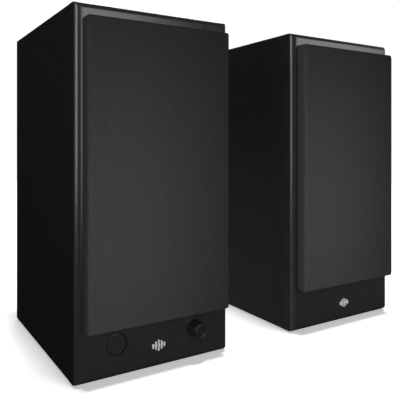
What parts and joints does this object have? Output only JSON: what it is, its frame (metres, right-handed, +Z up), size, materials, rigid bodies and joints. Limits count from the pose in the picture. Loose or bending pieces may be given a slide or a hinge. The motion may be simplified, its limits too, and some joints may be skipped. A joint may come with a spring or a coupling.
{
  "type": "desktop speaker pair",
  "caption": "Pair of black powered desktop speakers with rounded front panels, removable cloth grilles, a volume knob, rear ports and a rear amplifier plate.",
  "frame": {"origin": "on the desk, under the middle of the pair as it stands", "axes": "+X from the active speaker to the passive one, +Y to the back, +Z up; the grilles face -Y"},
  "size_m": [0.432, 0.262, 0.355],
  "materials": {
    "cabinet_wrap": "black textured vinyl wrap over fibreboard",
    "baffle_paint": "satin black paint over fibreboard",
    "badge_metal": "bright brushed silver",
    "moulded_black": "black moulded plastic, fine texture",
    "grille_fabric": "black acoustic cloth, fine open weave",
    "foot_rubber": "black soft rubber",
    "surround_rubber": "black butyl rubber",
    "driver_steel": "black coated pressed steel",
    "magnet_iron": "dark ferrite and plated steel",
    "cone_paper": "black coated pulp, satin",
    "coil_copper": "copper wire on an aluminium former",
    "spider_cloth": "resin-dipped woven cloth",
    "dome_silk": "black coated silk",
    "window_smoked": "smoked acrylic, polished",
    "knob_satin": "satin black with a turned face",
    "shaft_steel": "bright turned steel",
    "board_green": "green solder mask",
    "plate_painted": "black powder coat",
    "sink_anodised": "black anodised extrusion",
    "jack_gold": "gold plated",
    "cap_red": "red moulded plastic"
  },
  "bodies": {
    "active_speaker": {"active_cabinet": "cabinet_wrap", "active_baffle": "baffle_paint", "active_badge": "badge_metal", "active_port_tube": "moulded_black", "active_foot_front_left": "foot_rubber", "active_foot_front_right": "foot_rubber", "active_foot_rear_left": "foot_rubber", "active_foot_rear_right": "foot_rubber", "active_woofer_basket": "driver_steel", "active_woofer_motor": "magnet_iron", "active_woofer_surround": "surround_rubber", "active_spider": "spider_cloth", "active_tweeter_plate": "moulded_black", "active_tweeter_motor": "magnet_iron", "sensor_window": "window_smoked", "control_board": "board_green", "encoder_body": "moulded_black", "amp_plate": "plate_painted", "heat_sink": "sink_anodised", "rca_jacks": "jack_gold", "optical_socket": "moulded_black", "aux_jack": "moulded_black", "speaker_terminal_block": "moulded_black", "power_inlet": "moulded_black", "amp_board": "board_green", "power_board": "board_green"},
    "passive_speaker": {"passive_cabinet": "cabinet_wrap", "passive_baffle": "baffle_paint", "passive_badge": "badge_metal", "passive_port_tube": "moulded_black", "passive_foot_front_left": "foot_rubber", "passive_foot_front_right": "foot_rubber", "passive_foot_rear_left": "foot_rubber", "passive_foot_rear_right": "foot_rubber", "passive_woofer_basket": "driver_steel", "passive_woofer_motor": "magnet_iron", "passive_woofer_surround": "surround_rubber", "passive_spider": "spider_cloth", "passive_tweeter_plate": "moulded_black", "passive_tweeter_motor": "magnet_iron", "terminal_cup": "moulded_black", "crossover_board": "board_green"},
    "active_grille": {"active_grille_frame": "moulded_black", "active_grille_cloth": "grille_fabric"},
    "active_woofer_cone": {"active_woofer_cone": "cone_paper", "active_voice_coil": "coil_copper"},
    "active_tweeter_dome": {"active_tweeter_dome": "dome_silk"},
    "active_red_cap": {"active_terminal_cap_red": "cap_red"},
    "active_black_cap": {"active_terminal_cap_black": "moulded_black"},
    "passive_grille": {"passive_grille_frame": "moulded_black", "passive_grille_cloth": "grille_fabric"},
    "passive_woofer_cone": {"passive_woofer_cone": "cone_paper", "passive_voice_coil": "coil_copper"},
    "passive_tweeter_dome": {"passive_tweeter_dome": "dome_silk"},
    "passive_red_cap": {"passive_terminal_cap_red": "cap_red"},
    "passive_black_cap": {"passive_terminal_cap_black": "moulded_black"},
    "volume_plunger": {"encoder_plunger": "moulded_black"},
    "volume_knob": {"encoder_shaft": "shaft_steel", "volume_knob": "knob_satin"},
    "power_rocker": {"power_rocker": "moulded_black"}
  },
  "joints": [
    {"name": "passive_speaker_place", "type": "slide", "parent": "active_speaker", "child": "passive_speaker", "axis": [1, 0, 0], "range_m": [-0.06, 0.4]},
    {"name": "active_grille_pull", "type": "slide", "parent": "active_speaker", "child": "active_grille", "axis": [0, -1, 0], "range_m": [0, 0.06]},
    {"name": "active_woofer_travel", "type": "slide", "parent": "active_speaker", "child": "active_woofer_cone", "axis": [0, -1, 0], "range_m": [-0.004, 0.004], "stiffness_N_per_m": 1200, "deforming": ["active_woofer_surround", "active_spider"]},
    {"name": "active_tweeter_travel", "type": "slide", "parent": "active_speaker", "child": "active_tweeter_dome", "axis": [0, -1, 0], "range_m": [-0.0003, 0.0003], "stiffness_N_per_m": 3000},
    {"name": "active_red_cap_turn", "type": "hinge", "parent": "active_speaker", "child": "active_red_cap", "pos_m": [-0.1405, 0.12375, 0.102], "axis": [0, 1, 0], "continuous": true},
    {"name": "active_black_cap_turn", "type": "hinge", "parent": "active_speaker", "child": "active_black_cap", "pos_m": [-0.1215, 0.12375, 0.102], "axis": [0, 1, 0], "continuous": true},
    {"name": "passive_grille_pull", "type": "slide", "parent": "passive_speaker", "child": "passive_grille", "axis": [0, -1, 0], "range_m": [0, 0.06]},
    {"name": "passive_woofer_travel", "type": "slide", "parent": "passive_speaker", "child": "passive_woofer_cone", "axis": [0, -1, 0], "range_m": [-0.004, 0.004], "stiffness_N_per_m": 1200, "deforming": ["passive_woofer_surround", "passive_spider"]},
    {"name": "passive_tweeter_travel", "type": "slide", "parent": "passive_speaker", "child": "passive_tweeter_dome", "axis": [0, -1, 0], "range_m": [-0.0003, 0.0003], "stiffness_N_per_m": 3000},
    {"name": "passive_red_cap_turn", "type": "hinge", "parent": "passive_speaker", "child": "passive_red_cap", "pos_m": [0.1215, 0.09875, 0.11], "axis": [0, 1, 0], "continuous": true},
    {"name": "passive_black_cap_turn", "type": "hinge", "parent": "passive_speaker", "child": "passive_black_cap", "pos_m": [0.1405, 0.09875, 0.11], "axis": [0, 1, 0], "continuous": true},
    {"name": "volume_push", "type": "slide", "parent": "active_speaker", "child": "volume_plunger", "axis": [0, 1, 0], "range_m": [0, 0.0006], "stiffness_N_per_m": 4000, "springref_m": -0.0004},
    {"name": "volume_turn", "type": "hinge", "parent": "volume_plunger", "child": "volume_knob", "pos_m": [-0.089, -0.117, 0.034], "axis": [0, -1, 0], "continuous": true},
    {"name": "power_rock", "type": "hinge", "parent": "active_speaker", "child": "power_rocker", "pos_m": [-0.145, 0.11275, 0.055], "axis": [-1, 0, 0], "range_deg": [0, 16]}
  ]
}
